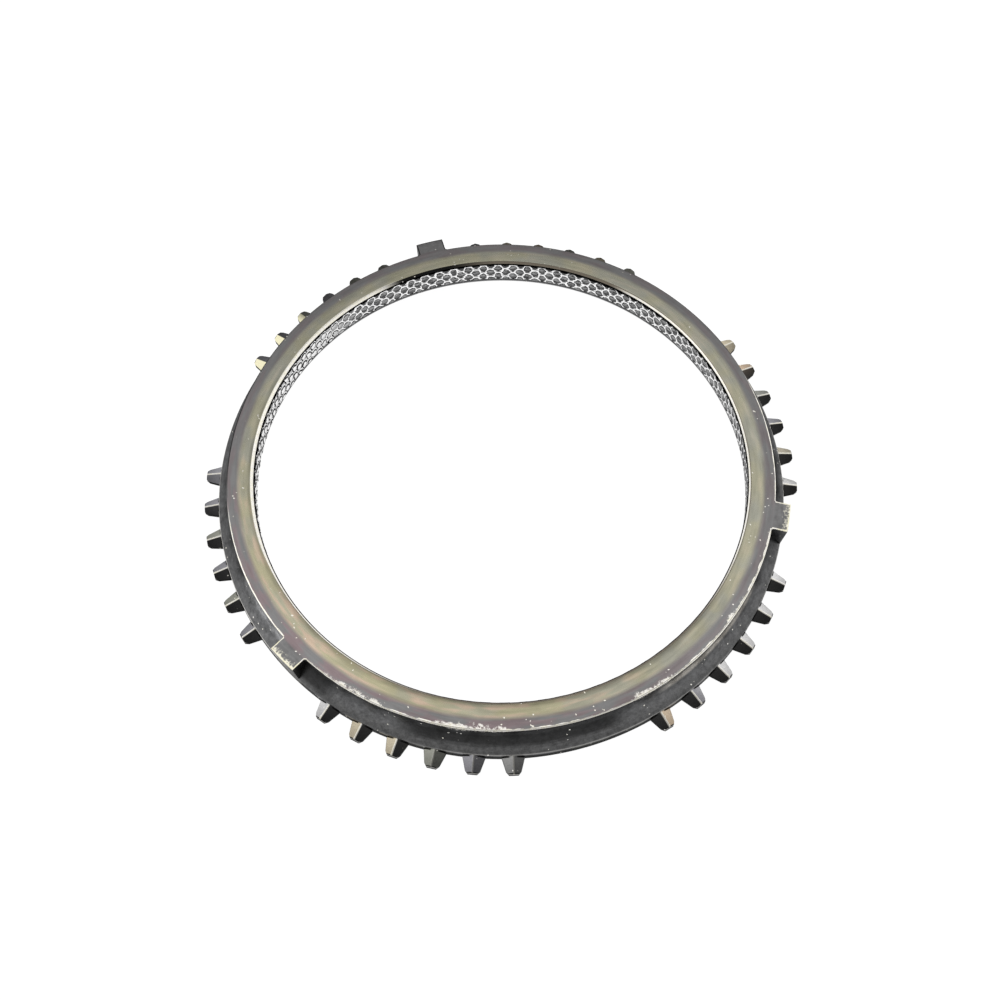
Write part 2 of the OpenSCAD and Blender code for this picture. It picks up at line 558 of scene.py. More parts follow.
@dataclass(frozen=True)
class SteelFinish:
    """Dark phosphated steel: olive and mauve on the top face, rubbed bright along its edges, with painted
    light and shade on the top face, the cove, the flange, the teeth, the chamfer and the bore.
    """

    black: Colour = (0.012, 0.012, 0.012)
    wall: Colour = (0.118, 0.119, 0.122)
    wall_highlight: Colour = (0.50, 0.475, 0.435)
    olive: Colour = (0.43, 0.405, 0.27)
    peach: Colour = (0.51, 0.40, 0.31)
    moss: Colour = (0.37, 0.37, 0.315)
    brown: Colour = (0.20, 0.175, 0.14)
    mauve: Colour = (0.268, 0.214, 0.226)
    slate: Colour = (0.215, 0.215, 0.220)
    bare: Colour = (0.96, 0.94, 0.90)
    cream: Colour = (0.90, 0.86, 0.62)
    tooth: Colour = (0.045, 0.045, 0.046)
    grey_teeth: tuple[Colour, Colour] = ((0.27, 0.27, 0.295), (0.29, 0.295, 0.26))
    warm_teeth: tuple[Colour, Colour] = ((0.52, 0.41, 0.31), (0.58, 0.52, 0.40))
    light_tooth: Colour = (0.62, 0.62, 0.63)
    edge_tint: Colour = (0.5, 0.5, 0.5)
    rubbed: tuple[Stretch, ...] = (
        Stretch(20, 24, 0.18),
        Stretch(225, 10, 1.0),
        Stretch(248, 10, 1.25),
        Stretch(272, 18, 0.3),
        Stretch(284, 7, 1.0),
        Stretch(298, 14, 0.6),
        Stretch(312, 12, 0.6),
        Stretch(332, 12, 0.45),
    )
    warm_lit_teeth: tuple[Stretch, Stretch] = (Stretch(231, 9), Stretch(286, 6))
    light_teeth: tuple[Stretch, Stretch] = (Stretch(219, 6), Stretch(318, 30))
    highlit_teeth: Stretch = Stretch(138, 19)
    tinted: Stretch = Stretch(226, 75)
    highlit_wall: Stretch = Stretch(300, 18)
    lit_speckled_wall: Stretch = Stretch(201, 12)
    shaded_walls: tuple[Stretch, Stretch] = (Stretch(256, 26), Stretch(5, 38))
    lug_shadows: tuple[Stretch, Stretch] = (Stretch(214, 9), Stretch(324.5, 4.5))
    dull_teeth: Stretch = Stretch(252, 18)
    broad_lines: tuple[Stretch, Stretch] = (Stretch(302, 32, 0.14), Stretch(250, 28, 0.12))
    worn_over: tuple[Stretch, Stretch] = (Stretch(197, 15, 0.9), Stretch(310, 22, 1.1))
    shaded_chamfer: Stretch = Stretch(72, 38)
    highlit_chamfer: Stretch = Stretch(135, 75)
    # Radii in millimetres over which a tint or a painted shade sets in
    cool_band: Span = (55.5, 56.7)
    shaded_rim: Span = (54.6, 53.6)
    bore_side: Span = (54.7, 54.5)
    # Heights in millimetres over which a tint, the ridges' wear, painted light or painted shade sets in or
    # ends
    lit_low_wall: Span = (6.2, 3.4)
    wall_light_from: Span = (4.0, 6.2)
    highlight_from: Span = (4.9, 6.0)
    highlight_until: Span = (7.6, 6.4)
    shade_from: Span = (2.4, 4.2)
    shade_until: Span = (7.4, 5.8)
    lug_shadow_from: Span = (2.2, 3.2)
    lug_shadow_until: Span = (8.0, 6.4)
    lug_shadow_middle: float = 5.0
    flange_face: Span = (1.9, 1.7)
    foot_shade: Span = (0.3, 1.6)
    tooth_foot: Span = (1.1, 0.95)
    ridge_from: Span = (1.3, 1.5)
    glint_z: float = 0.85
    # Roughness of the top face, and what the outer band, the side and bare metal add to it
    roughness: float = 0.27
    outer_dull: float = 0.06
    side_dull: float = 0.13
    bare_dull: float = -0.08
    relief: float = 0.12
    relief_depth: float = 0.04 * MM

    def material(self) -> bpy.types.Material:
        """Builds the finish.

        Returns:
            The material of the ring body.
        """
        material, sh = new_material("ring_steel")
        at = RingPlace(sh)
        noise = SteelNoise(sh, at)
        on_top = at.z.rise(SIZES.mouth_z - 0.08, SIZES.mouth_z - 0.02)
        outer = (at.radius + (noise.clouds - 0.5) * 0.8).rise(*self.cool_band)
        colour = sh.mix(on_top, self._side(sh, at, noise), self._face(sh, at, outer, noise))
        shade = (noise.grain - 0.5) * (0.26 - on_top * 0.14) + 1.0
        colour = sh.toned(colour, shade)

        nearest = self._edge_distance(at)
        bright = self._wear(at, nearest, noise, on_top).most(self._bare_places(at, noise))
        bright = bright.most(self._specks(sh, at, outer * on_top, noise))
        # Painted shade: the outer edge of the top face and of the lugs darkened on the back half
        colour = sh.mix(nearest.rise(0.34, 0.16) * at.north.rise(0.0, 0.3), colour, self.black)
        lug_top = on_top * at.radius.rise(SIZES.top_r + 0.8, SIZES.top_r + 1.2)
        yellow = noise.chips.rise(0.7, 0.2) * 0.4 + lug_top * 0.5
        colour = sh.mix(bright, colour, sh.mix(yellow, self.bare, self.cream))

        uneven = (noise.grain - 0.5) * (0.12 - on_top * 0.08)
        dull = outer * on_top * self.outer_dull + (1.0 - on_top) * self.side_dull + bright * self.bare_dull
        height = noise.brushed * 0.4 + noise.grain * outer * 0.3
        relief = {"Strength": self.relief, "Distance": self.relief_depth, "Height": height}
        sh.metal(colour, dull + uneven + self.roughness, self.edge_tint, relief)
        return material

    def _face(self, sh: Shader, at: RingPlace, outer: Value, noise: SteelNoise) -> Socket:
        """Colour of the top face: a warm band towards the bore, a cooler one towards the edge, with painted
        light on the left and at the right-front and painted shade at the right, the front and the inner rim.

        Args:
            sh: the shader.
            at: the place.
            outer: 1 on the outer band.
            noise: the finish's noises.

        Returns:
            The colour.
        """
        tint = self.tinted.at(at)
        patches = at.along(sh, 9.0, 0.8, at.radius)
        fine = at.along(sh, 12.0, 3.0, at.radius)
        on_lug = at.radius.rise(SIZES.top_r - 0.3, SIZES.top_r + 0.5)
        warm = sh.mix(noise.clouds.rise(0.40, 0.60) * 0.5 + tint * 0.5, self.moss, self.olive)
        warm = sh.mix(patches.rise(0.46, 0.66) * (tint * 0.8 + 0.15), warm, self.peach)
        cool = sh.mix(patches.rise(0.60, 0.38) * (tint * 0.6 + 0.4), self.slate, self.mauve)
        cool = sh.mix(on_lug, cool, self.slate)
        # Painted light: lighter on the left and, on the outer band, at the right-front. Painted shade:
        # darker at the right, at the front and along the inner rim.
        left = at.east.rise(-0.5, -0.95) * (1.0 - on_lug) * 0.15
        right = outer * at.east.rise(0.4, 0.9) * 0.1
        front = at.north.rise(-0.6, -0.95) * 0.1
        painted_highlight = outer * self.highlit_wall.at(at) * 0.16
        # Painted shade along the inner rim, except at the back-right
        rim = at.radius.rise(*self.shaded_rim) * (at.east + at.north).rise(0.2, -0.6) * 0.36
        streaks = noise.brushed * 0.45 + fine * 0.2 + (noise.blotch - 0.5) * (on_lug * 0.55 + 0.15)
        shadows = right + front + rim + on_lug * 0.05
        tone = streaks + (patches - 0.5) * 0.5 + left + painted_highlight - shadows + 0.74
        return sh.toned(sh.mix(outer, warm, cool), tone)

    def _side(self, sh: Shader, at: RingPlace, noise: SteelNoise) -> Socket:
        """Colour of all that lies below the top face: the cove, the flange, the teeth and the bore, with
        painted light and shade on them: highlights on the cove and along the flange's edge, a dark band high
        on the cove, shadows beside the lugs, a black flange face and a bore black above its foot.

        Args:
            sh: the shader.
            at: the place.
            noise: the finish's noises.

        Returns:
            The colour.
        """
        lines = at.along(sh, 9.0, 3.0, at.z)
        mottle = noise.grain * 0.7 + noise.blotch * 1.3 - 0.1
        # Painted light: the lower cove lighter at the front
        mottle = mottle * (at.z.rise(*self.lit_low_wall) * at.north.rise(0.1, -0.7) * 0.15 + 1.0)
        # Painted light: the cove lighter on the left, most of all high up
        mottle = mottle * ((at.z.rise(*self.wall_light_from) * 3.4 + 0.3) * self.lit_speckled_wall.at(at) + 1.0)
        # Painted highlight: a warm pale band across the cove at the right-front
        highlight_band = at.z.rise(*self.highlight_from) * (at.z.rise(*self.highlight_until) * 0.6 + 0.4)
        painted_highlight = self.highlit_wall.at(at).rise(0.1, 0.7) * highlight_band
        cove = sh.toned(sh.mix(painted_highlight, self.wall, self.wall_highlight), mottle)
        level = at.z + (lines - 0.5) * 1.2
        # Painted shade: a dark band high on the cove, at the front and the right
        dark = level.rise(*self.shade_from) * (level.rise(*self.shade_until) * 0.55 + 0.45) * 0.8
        dark = dark * within(self.shaded_walls, at, 0.0, 0.6)
        # Painted shadow of the lugs on the cove beside them
        slant = (at.z - self.lug_shadow_middle) * 0.07
        first, second = ((stretch.at(at) + slant).rise(0.2, 0.9) for stretch in self.lug_shadows)
        lug_shadow = at.z.rise(*self.lug_shadow_from) * (at.z.rise(*self.lug_shadow_until) * 0.45 + 0.3)
        lug_shadow = lug_shadow * first.most(second * 0.45)
        beside_lug = at.lug_across.rise(SIZES.half_lug - 0.2, SIZES.half_lug + 0.1)
        cove = sh.mix(dark.most(lug_shadow * beside_lug), cove, self.black)
        outside = at.radius.rise(SIZES.flange_r - 0.02, SIZES.flange_r + 0.12)
        colour = sh.mix(outside, cove, self._tooth(sh, at, noise))
        short_of_tooth = at.radius.rise(SIZES.flange_r + 0.3, SIZES.flange_r + 0.26)
        # Painted shade: the flange's upright face black, a little lighter below the lugs at the front
        flange_face_shade = outside * short_of_tooth * at.z.rise(*self.flange_face)
        below_lug = at.lug_across.rise(SIZES.half_lug + 1.0, SIZES.half_lug - 0.8)
        below_lug = below_lug * at.north.rise(0.2, 0.0) * 0.16
        colour = sh.mix(flange_face_shade, colour, sh.mix(below_lug, self.black, self.bare))
        # Painted highlight along the flange's upper edge, on the left, the right and faintly at the front
        flange_highlight = abs(at.radius - SIZES.flange_r).rise(0.16, 0.08)
        flange_highlight = flange_highlight * abs(at.z - SIZES.flange_height).rise(0.22, 0.12)
        left_and_right = at.east.rise(-0.8, -0.97) + at.east.rise(0.6, 0.95)
        shown = left_and_right * 0.6 + at.north.rise(-0.8, -0.95) * 0.2
        colour = sh.mix(flange_highlight * shown, colour, self.bare)
        # Painted shade in the bore: black above its foot, slate towards the floor. The mouth chamfer is
        # brown except on the left; at the back this brown stands as painted shade.
        low = sh.mix(at.z.rise(*self.foot_shade), self.slate, self.black)
        brown_mouth = at.z.rise(SIZES.mouth_foot - 0.02, SIZES.mouth_foot + 0.04)
        brown_mouth = brown_mouth * self.highlit_chamfer.at(at).rise(0.6, 0.2)
        return sh.mix(at.radius.rise(*self.bore_side), colour, sh.mix(brown_mouth, low, self.brown))

    def _tooth(self, sh: Shader, at: RingPlace, noise: SteelNoise) -> Socket:
        """Colour of the teeth, with painted light and shade: the roof face turned to the back is painted
        lighter, grey or warm, the other dark; the back teeth, the feet and the ends are darkened, with
        painted highlights on some teeth and a painted glint on the ends.

        Args:
            sh: the shader.
            at: the place.
            noise: the finish's noises.

        Returns:
            The colour.
        """
        # Painted light and shade: the roof face turned to the back counts as lit, and at the back both faces
        # do
        lit = (at.tooth_side * at.east).rise(-0.1, 0.1).most(at.north.rise(0.1, 0.3))
        kind = (at.tooth_lot * 3.0).fraction().rise(0.4, 0.6)
        grey, warm = sh.mix(kind, *self.grey_teeth), sh.mix(kind, *self.warm_teeth)
        backward = at.tooth_lot.rise(0.55, 0.65) * at.north.rise(-0.4, 0.0) * at.east.rise(0.0, 0.3)
        chosen = within(self.warm_lit_teeth, at, 0.2, 0.6).most(backward)
        grey = sh.mix(within(self.light_teeth, at, 0.1, 0.4), grey, self.light_tooth)
        fade = at.tooth_out.rise(SIZES.tip_r, SIZES.flange_r) * 0.35 + noise.grain * 0.5 + 0.5
        # The colour of the roof face painted as lit: grey, lighter in two stretches, or warm on some teeth
        rubbed = sh.mix(chosen, grey, warm)
        # On the front teeth the other face is partly painted as lit too
        lit = lit.most(self.dull_teeth.at(at).rise(0.1, 0.6) * 0.4)
        facet = sh.toned(sh.mix(lit, self.tooth, rubbed), fade)
        # Painted shade: the teeth at the back darkened
        facet = sh.mix(at.north.rise(0.45, 0.8) * 0.8, facet, self.black)
        # Painted highlight: one roof face of the teeth at the back-left in cream
        gold_highlight = self.highlit_teeth.at(at).rise(0.05, 0.4) * at.tooth_side.rise(0.0, 0.25)
        facet = sh.mix(gold_highlight, facet, self.cream)
        # Painted shade: the teeth black low down, near the floor
        facet = sh.mix(at.z.rise(*self.tooth_foot), facet, self.black)
        # The tooth ends black as painted shade, with a painted glint low across them
        end = at.tooth_out.rise(SIZES.tip_r - 0.12, SIZES.tip_r - 0.02)
        glint = abs(at.z - self.glint_z).rise(0.3, 0.12) * 0.4
        return sh.mix(end, facet, sh.mix(glint, self.black, self.bare))

    def _edge_distance(self, at: RingPlace) -> Value:
        """Distance from the outer edge of the top face and of the lugs.

        Args:
            at: the place.

        Returns:
            The distance in millimetres.
        """
        half = SIZES.half_lug
        in_lug = at.lug_across.rise(half + 0.05, half - 0.05)
        drop = SIZES.height - at.z
        inward = in_lug * SIZES.lug_reach + SIZES.top_r - at.radius
        rim = (inward * inward + drop * drop) ** 0.5
        side = half - at.lug_across
        off_lug = at.radius.rise(SIZES.top_r, SIZES.top_r - 0.3) * 9.0
        return rim.least((side * side + drop * drop) ** 0.5 + off_lug)

    def _wear(self, at: RingPlace, nearest: Value, noise: SteelNoise, on_top: Value) -> Value:
        """Where the coating is rubbed off: a line along the edge, patches further in, and the lug ends.

        Args:
            at: the place.
            nearest: distance from the edge.
            noise: the finish's noises.
            on_top: 1 on the top face.

        Returns:
            1 where the metal is bright.
        """
        worn_side = at.north.rise(0.12, -0.05)
        first, second = (stretch.at(at) for stretch in self.broad_lines)
        breadth = noise.streaks * (first + second + 0.1) + (first + second) * 0.6 + 0.22
        drop = SIZES.height - at.z
        left, right = (stretch.at(at) for stretch in self.worn_over)
        over = ((left + right) * (noise.streaks * 0.6 + 0.5) - drop).rise(-0.05, 0.2)
        over = over * at.radius.rise(SIZES.top_r + 0.3, SIZES.top_r + 0.15)
        over = over * at.radius.rise(SIZES.top_r - 0.15, SIZES.top_r - 0.03)
        over = over * at.lug_across.rise(SIZES.half_lug, SIZES.half_lug + 0.3)
        line = ((breadth - nearest).rise(-0.02, 0.06) * drop.rise(0.22, 0.1)).most(over) * worn_side
        reach = sum((stretch.at(at) for stretch in self.rubbed[1:]), self.rubbed[0].at(at))
        dots = noise.grain.rise(0.36, 0.54)
        ragged = noise.chips * 0.6 + noise.streaks * 0.6 + 0.15
        patch = (reach * ragged - nearest).rise(-0.05, 0.4) * (dots * 0.4 + 0.5)
        on_lug = at.radius.rise(SIZES.top_r + 0.8, SIZES.top_r + 1.2) * on_top * worn_side
        end = at.radius - SIZES.lug_r
        solid = (noise.chips * 0.7 - at.east * 0.1 + 0.04 + end).rise(-0.05, 0.12)
        flecks = (noise.chips * 1.9 - 0.1 + end).rise(0.0, 0.4) * dots * 0.5
        return line.most(patch).most(solid.most(flecks) * on_lug)

    def _bare_places(self, at: RingPlace, noise: SteelNoise) -> Value:
        """The machined chamfer at the mouth of the bore, left out at the very front and, as painted shade,
        at the back, and widened at the left as a painted highlight; and the worn ridges of the teeth, left
        out at the back as painted shade.

        Args:
            at: the place.
            noise: the finish's noises.

        Returns:
            1 where the metal is bare.
        """
        # Painted highlight: the bare band wider and higher on the left
        high = self.highlit_chamfer.at(at).rise(0.05, 0.6)
        middle = high * 0.16 + (SIZES.mouth_foot + 0.16)
        chamfer = (high * 0.1 + 0.28 - abs(at.z - middle)).rise(0.0, 0.1)
        chamfer = chamfer * (at.radius - high * 0.14).rise(SIZES.mouth_rim + 0.06, SIZES.mouth_rim - 0.04)
        # Not bare at the very front, nor, as painted shade, at the back
        chamfer = chamfer * at.north.rise(-0.9, -0.6) * self.shaded_chamfer.at(at).rise(0.45, 0.0)
        ridge = abs(at.tooth_side).rise(0.22, 0.12) * at.radius.rise(SIZES.flange_r, SIZES.flange_r + 0.2)
        # Painted shade: no bare ridges at the back
        ridge = ridge * at.z.rise(*self.ridge_from) * at.north.rise(0.7, 0.3) * (noise.grain * 0.5 + 0.6)
        ridge = ridge * (1.0 - self.dull_teeth.at(at).rise(0.1, 0.6) * 0.8)
        return chamfer.most(ridge)

    def _specks(self, sh: Shader, at: RingPlace, outer: Value, noise: SteelNoise) -> Value:
        """Small bright specks in clusters, mostly on the outer band.

        Args:
            sh: the shader.
            at: the place.
            outer: 1 on the outer band.
            noise: the finish's noises.

        Returns:
            1 on a speck.
        """
        bend = sh.noise(at.mm, 1.1, 2.0) * 0.9
        place = sh.vector(at.x + bend, at.y - bend, at.z)
        cells = sh.node("ShaderNodeTexVoronoi", None, {"Vector": place, "Scale": 1.3})
        tone = sh.axes(cells.outputs["Color"])[0]
        dot = Value(sh, cells.outputs["Distance"]).rise(0.26, 0.12)
        share = noise.clouds.rise(0.45, 0.62) * 0.10 + outer * at.north.rise(0.3, -0.5) * 0.08 + 0.012
        # More specks where the cove is painted lighter on the left
        share = share + self.lit_speckled_wall.at(at) * 0.07
        return dot * (tone + share).rise(0.985, 1.0)


@dataclass(frozen=True)
class RingBody:
    """The steel ring with its teeth and lugs, forged in one piece."""

    sizes: RingSizes = SIZES
    finish: SteelFinish = SteelFinish()
    steps: int = 360
    cove_steps: int = 16
    fillet_steps: int = 6
    lug_end_cuts: int = 4
    sharp: float = math.radians(38)
    flat: float = math.radians(0.5)
    rounded_from: float = math.radians(20)
    # In millimetres: how far a lug is sunk into the ring, and how much of a tooth's root keeps sharp edges
    sink: float = 0.05
    hidden_root: float = 0.01

    def build(self) -> bpy.types.Object:
        """Joins ring, teeth and lugs into one mesh.

        Returns:
            The ring body.
        """
        ring = to_object(self._ring(), "ring_body_shell")
        extras = to_object(self._extras(), "ring_body_extras")
        join = ring.modifiers.new("join", "BOOLEAN")
        join.operation = "UNION"
        join.solver = "EXACT"
        join.object = extras
        graph = bpy.context.evaluated_depsgraph_get()
        joined = bpy.data.meshes.new_from_object(ring.evaluated_get(graph))
        mesh = bmesh.new()
        mesh.from_mesh(joined)
        for helper in (ring, extras):
            bpy.data.objects.remove(helper)
        bpy.data.meshes.remove(joined)
        bmesh.ops.remove_doubles(mesh, verts=mesh.verts, dist=MERGE_GAP)
        bmesh.ops.dissolve_degenerate(mesh, edges=mesh.edges, dist=CUT_GAP)
        bmesh.ops.recalc_face_normals(mesh, faces=mesh.faces)
        bmesh.ops.scale(mesh, vec=(MM, MM, MM), verts=mesh.verts)
        piece = to_object(mesh, "steel_ring")
        piece.data.shade_smooth()
        piece.data.set_sharp_from_angle(angle=self.sharp)
        weighted = piece.modifiers.new("flat_faces", "WEIGHTED_NORMAL")
        weighted.keep_sharp = True
        seat_piece(piece, "ring_body", self.finish.material())
        return piece

    def _ring(self) -> Shape:
        """The plain ring: its section turned once round the axis.

        Returns:
            The closed shape in millimetres.
        """
        s = self.sizes
        mesh = bmesh.new()
        cove_top = s.height - s.edge_break
        fall = cove_top - s.flange_height
        cove_r = (s.flange_reach ** 2 + fall ** 2) / (2 * s.flange_reach)
        start = mesh.verts.new((s.top_r, 0, cove_top))
        turned = bmesh.ops.spin(
            mesh, geom=[start], cent=(s.top_r + cove_r, 0, cove_top), axis=(0, 1, 0),
            angle=-math.atan2(fall, cove_r - s.flange_reach), steps=self.cove_steps,
        )
        end = [item for item in turned["geom_last"] if isinstance(item, bmesh.types.BMVert)][0]
        seat_foot, seat_top = s.lining_foot - s.bond_film, s.lining_top + s.bond_film
        corners = [
            (s.flange_r + s.foot_flare, 0.0),
            (s.bore_at(0) + s.foot_chamfer, 0.0),
            (s.bore_at(s.foot_chamfer), s.foot_chamfer),
            (s.bore_at(seat_foot), seat_foot),
            (s.seat_at(seat_foot), seat_foot),
            (s.seat_at(seat_top), seat_top),
            (s.bore_at(seat_top), seat_top),
            (s.mouth_r, s.mouth_foot),
            (s.mouth_rim, s.mouth_z),
            (s.dish_r, s.height),
            (s.top_r - s.edge_break, s.height),
        ]
        loop = [end, *(mesh.verts.new((r, 0, z)) for r, z in corners), start]
        for first, second in zip(loop, loop[1:]):
            mesh.edges.new((first, second))
        turn_round(mesh, self.steps)
        self._round_loop(mesh, s.top_r - s.edge_break, s.height, Edge.WORN)
        self._round_loop(mesh, s.mouth_rim, s.mouth_z, Edge.TOOTH)
        self._round_loop(mesh, s.mouth_r, s.mouth_foot, Edge.TOOTH)
        self._round_loop(mesh, s.flange_r, s.flange_height, Edge.TOOTH)
        self._round_loop(mesh, s.flange_r + s.foot_flare, 0.0, Edge.FOOT)
        return mesh

    def _round_loop(self, mesh: Shape, radius: float, z: float, kind: Edge) -> None:
        """Rounds one circular edge of the ring.

        Args:
            mesh: the ring.
            radius: the edge's radius.
            z: its height.
            kind: how far it is rounded.
        """
        def lies_on(vert: bmesh.types.BMVert) -> bool:
            """Tells if a vertex is on that circle."""
            return abs(vert.co.z - z) < LINE_GAP and abs(vert.co.xy.length - radius) < LINE_GAP

        edges = [edge for edge in mesh.edges if all(lies_on(vert) for vert in edge.verts)]
        round_edges(mesh, edges, kind)

    def _extras(self) -> Shape:
        """All teeth and lugs, each in its place.

        Returns:
            The shapes in millimetres.
        """
        s = self.sizes
        everything = bmesh.new()
        tooth = to_object(self._tooth(), "tooth").data
        lug = to_object(self._lug(), "lug").data
        first = (s.lug_places + 1) / 2
        for index in range(s.lug_count):
            middle = TURN / 4 + index * TURN / s.lug_count
            self._place(everything, lug, middle)
            for place in range(s.teeth_per_side):
                for side in (-1, 1):
                    self._place(everything, tooth, middle + side * (first + place) * s.pitch)
        for data in (tooth, lug):
            bpy.data.objects.remove(bpy.data.objects[data.name])
            bpy.data.meshes.remove(data)
        return everything

    def _place(self, mesh: Shape, data: bpy.types.Mesh, angle: float) -> None:
        """Adds a copy of a shape, turned about the axis.

        Args:
            mesh: what it is added to.
            data: the shape on +X.
            angle: how far it is turned.
        """
        known = len(mesh.verts)
        mesh.from_mesh(data)
        mesh.verts.ensure_lookup_table()
        turn = Matrix.Rotation(angle, 3, "Z")
        bmesh.ops.rotate(mesh, cent=(0, 0, 0), matrix=turn, verts=mesh.verts[known:])

    def _tooth(self) -> Shape:
        """The tooth on +X, cut from a block: two roof faces, two tapered sides, an end and tip corners.

        Returns:
            The closed shape in millimetres.
        """
        s = self.sizes
        half_root, half_tip = s.root_width / 2, s.tip_width / 2
        taper = (half_root - half_tip) / s.tooth_length
        end_r = s.tip_r + s.foot_flare
        length = end_r - s.top_r
        block = Matrix.Translation((s.top_r + length / 2, 0, s.flange_height)) @ Matrix.Diagonal(
            (length, 3 * s.root_width, 2 * s.flange_height, 1)
        )
        mesh = bmesh.new()
        bmesh.ops.create_cube(mesh, size=1.0, matrix=block)
        ridge = (s.flange_r, 0, s.flange_height)
        fall = s.ridge_drop / s.tooth_length
        tip_z = s.flange_height - s.ridge_drop
        for side in (-1, 1):
            slice_off(mesh, ridge, Vector((fall, side * math.tan(s.roof), 1)).normalized())
            slice_off(mesh, (s.flange_r, side * half_root, 0), Vector((taper, side, 0)).normalized())
        slice_off(mesh, (s.tip_r, 0, tip_z), Vector((tip_z, 0, s.foot_flare)).normalized())
        corner_x, corner_y = end_r - s.tip_r + s.tip_corner, s.tip_corner * (1 + taper)
        for side in (-1, 1):
            slice_off(
                mesh, (end_r, side * (half_tip - s.tip_corner), 0),
                Vector((corner_y, side * corner_x, 0)).normalized(),
            )
        bmesh.ops.recalc_face_normals(mesh, faces=mesh.faces)
        crest = [
            e for e in mesh.edges
            if all(abs(v.co.y) < LINE_GAP and v.co.z > tip_z / 2 for v in e.verts)
        ]
        round_edges(mesh, crest, Edge.RIDGE)
        shown = [
            e for e in mesh.edges
            if max(v.co.x for v in e.verts) > s.top_r + self.hidden_root
            and e.calc_face_angle(0) > self.rounded_from
        ]
        round_edges(mesh, shown, Edge.TOOTH)
        return mesh

    def _lug(self) -> Shape:
        """The lug on +X: its plan, with a fillet at each root, raised to the top face.

        Returns:
            The closed shape in millimetres.
        """
        s = self.sizes
        foot = s.flange_height / 2
        root_r = (s.dish_r + s.top_r) / 2
        centre_r = s.top_r + s.lug_fillet - self.sink
        centre_y = s.half_lug + s.lug_fillet
        centre_x = math.sqrt(centre_r ** 2 - centre_y ** 2)
        lean = math.asin(centre_y / centre_r)
        mesh = bmesh.new()
        start = mesh.verts.new(
            (centre_x - s.lug_fillet * math.cos(lean), centre_y - s.lug_fillet * math.sin(lean), foot)
        )
        turned = bmesh.ops.spin(
            mesh, geom=[start], cent=(centre_x, centre_y, foot), axis=(0, 0, 1),
            angle=TURN / 4 - lean, steps=self.fillet_steps,
        )
        fillet_end = [item for item in turned["geom_last"] if isinstance(item, bmesh.types.BMVert)][0]
        half = [
            (s.lug_r, s.half_lug),
            (s.lug_r, 0.0),
            (root_r, 0.0),
            (root_r, start.co.y),
        ]
        loop = [fillet_end, *(mesh.verts.new((x, y, foot)) for x, y in half), start]
        for first, second in zip(loop, loop[1:]):
            mesh.edges.new((first, second))
        bmesh.ops.contextual_create(mesh, geom=mesh.edges[:])
        ends = [e for e in mesh.edges if all(abs(v.co.x - s.lug_r) < MERGE_GAP for v in e.verts)]
        bmesh.ops.subdivide_edges(mesh, edges=ends, cuts=self.lug_end_cuts)
        for vert in mesh.verts:
            if abs(vert.co.x - s.lug_r) < MERGE_GAP:
                vert.co.x = math.sqrt(s.lug_r ** 2 - vert.co.y ** 2)
        everything = mesh.verts[:] + mesh.edges[:] + mesh.faces[:]
        bmesh.ops.mirror(mesh, geom=everything, axis="Y", merge_dist=MERGE_GAP)
        bmesh.ops.dissolve_limit(
            mesh, angle_limit=self.flat, verts=mesh.verts[:],
            edges=[e for e in mesh.edges if all(abs(v.co.y) < MERGE_GAP for v in e.verts)],
        )
        raised = bmesh.ops.extrude_face_region(mesh, geom=mesh.faces[:])
        moved = [item for item in raised["geom"] if isinstance(item, bmesh.types.BMVert)]
        bmesh.ops.translate(mesh, vec=(0, 0, s.height - foot), verts=moved)
        bmesh.ops.recalc_face_normals(mesh, faces=mesh.faces)
        rim = [
            e for e in mesh.edges
            if all(abs(v.co.z - s.height) < MERGE_GAP for v in e.verts)
            and max(v.co.x for v in e.verts) > s.top_r - s.edge_break
        ]
        round_edges(mesh, rim, Edge.WORN)
        return mesh


